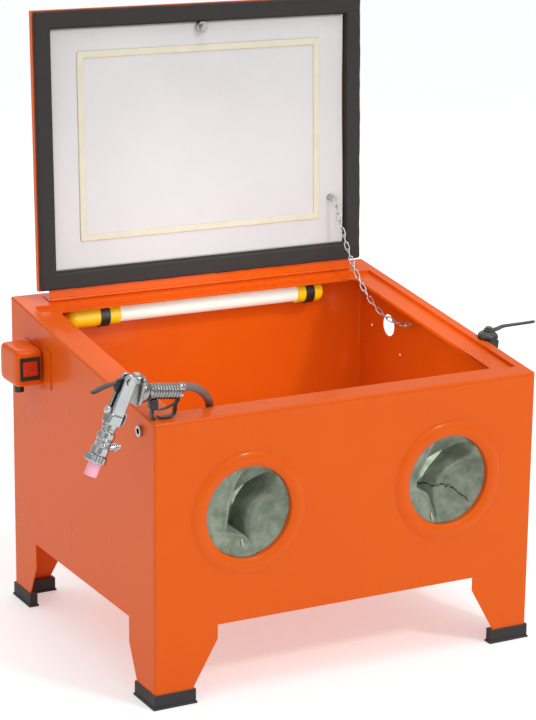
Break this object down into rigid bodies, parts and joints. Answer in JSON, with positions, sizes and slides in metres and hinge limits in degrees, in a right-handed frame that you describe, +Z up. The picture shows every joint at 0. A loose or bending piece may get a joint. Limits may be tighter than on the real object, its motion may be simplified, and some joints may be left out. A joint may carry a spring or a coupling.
{
  "type": "sandblast cabinet",
  "caption": "Benchtop blast cabinet of orange sheet steel on corner legs: hinged window lid held open by a chain, glove ports, lamp, mains switch and a blast gun parked on the rim.",
  "frame": {"origin": "middle of the object's bounding box, on the floor plane under the feet", "axes": "+X to the right seen from the glove side, +Y to the rear (hinge side), +Z up"},
  "size_m": [0.7677, 0.5006, 0.8733],
  "materials": {
    "orange_paint": "semi-gloss powder coat",
    "zinc_steel": "zinc-plated satin",
    "dark_steel": "matt dark coated wire",
    "black_rubber": "matt",
    "glove_leather": "soft matt leather",
    "lamp_white": "frosted",
    "yellow_plastic": "gloss",
    "black_plastic": "satin",
    "red_plastic": "gloss",
    "nickel": "bright plated",
    "hose_rubber": "satin",
    "black_foam": "closed-cell foam, matt",
    "clear_glass": "clear polished",
    "cream_tape": "matt",
    "white_film": "soft translucent film",
    "cast_aluminium": "dull cast",
    "pink_ceramic": "semi-matt fired"
  },
  "bodies": {
    "cabinet": {"front_panel": "orange_paint", "left_panel": "orange_paint", "right_panel": "orange_paint", "rear_panel": "orange_paint", "rim_front": "orange_paint", "rim_rear": "orange_paint", "rim_left": "orange_paint", "rim_right": "orange_paint", "floor_pan": "orange_paint", "floor_screws": "zinc_steel", "grate_supports": "orange_paint", "work_grate": "dark_steel", "leg_front_left": "orange_paint", "leg_front_right": "orange_paint", "leg_rear_left": "orange_paint", "leg_rear_right": "orange_paint", "foot_front_left": "black_rubber", "foot_front_right": "black_rubber", "foot_rear_left": "black_rubber", "foot_rear_right": "black_rubber", "leg_bolts": "zinc_steel", "port_ring_left": "orange_paint", "port_ring_right": "orange_paint", "glove_left": "glove_leather", "glove_right": "glove_leather", "glove_clamps": "zinc_steel", "lamp_diffuser": "lamp_white", "lamp_cap_left": "yellow_plastic", "lamp_cap_right": "yellow_plastic", "lamp_clips": "black_plastic", "lamp_tube": "lamp_white", "switch_box": "orange_paint", "switch_plate": "orange_paint", "switch_bezel": "black_plastic", "cable_gland": "black_plastic", "hinge_leaf_body": "orange_paint", "hinge_pin": "zinc_steel", "latch_bracket": "black_plastic", "air_fitting": "nickel", "air_hose": "hose_rubber", "chain_anchor": "zinc_steel", "stay_chain": "zinc_steel"},
    "lid": {"lid_frame": "orange_paint", "lid_gasket": "black_foam", "window_glass": "clear_glass", "window_border": "cream_tape", "lid_film": "white_film", "lid_knob": "black_plastic", "lid_bolts": "zinc_steel", "hinge_leaf_lid": "orange_paint"},
    "latch": {"latch_lever": "black_plastic"},
    "rocker": {"power_rocker": "red_plastic"},
    "gun": {"gun_body": "cast_aluminium", "gun_grip": "cast_aluminium", "gun_barrel": "nickel", "gun_screws": "zinc_steel", "nozzle_nut": "nickel", "nozzle": "pink_ceramic"},
    "trigger": {"gun_trigger": "black_plastic"}
  },
  "joints": [
    {"name": "lid_hinge", "type": "hinge", "parent": "cabinet", "child": "lid", "pos_m": [0, 0.19997, 0.45759], "axis": [1, 0, 0], "range_deg": [0, 99.6], "deforming": ["stay_chain", "air_hose"]},
    {"name": "latch_swing", "type": "hinge", "parent": "cabinet", "child": "latch", "pos_m": [0.301, -0.1135, 0.41276], "axis": [0, -0.1328, 0.9911], "range_deg": [0, 180]},
    {"name": "rocker_tilt", "type": "hinge", "parent": "cabinet", "child": "rocker", "pos_m": [-0.318, 0.1205, 0.384], "axis": [1, 0, 0], "range_deg": [0, 16]},
    {"name": "gun_lift", "type": "slide", "parent": "cabinet", "child": "gun", "axis": [0, 0, 1], "range_m": [0, 0.12], "deforming": ["air_hose"]},
    {"name": "trigger_pull", "type": "hinge", "parent": "gun", "child": "trigger", "pos_m": [-0.3246, -0.2295, 0.4534], "axis": [0, -1, 0], "range_deg": [0, 15], "stiffness_Nm_per_rad": 0.1, "springref_deg": -17.19}
  ]
}
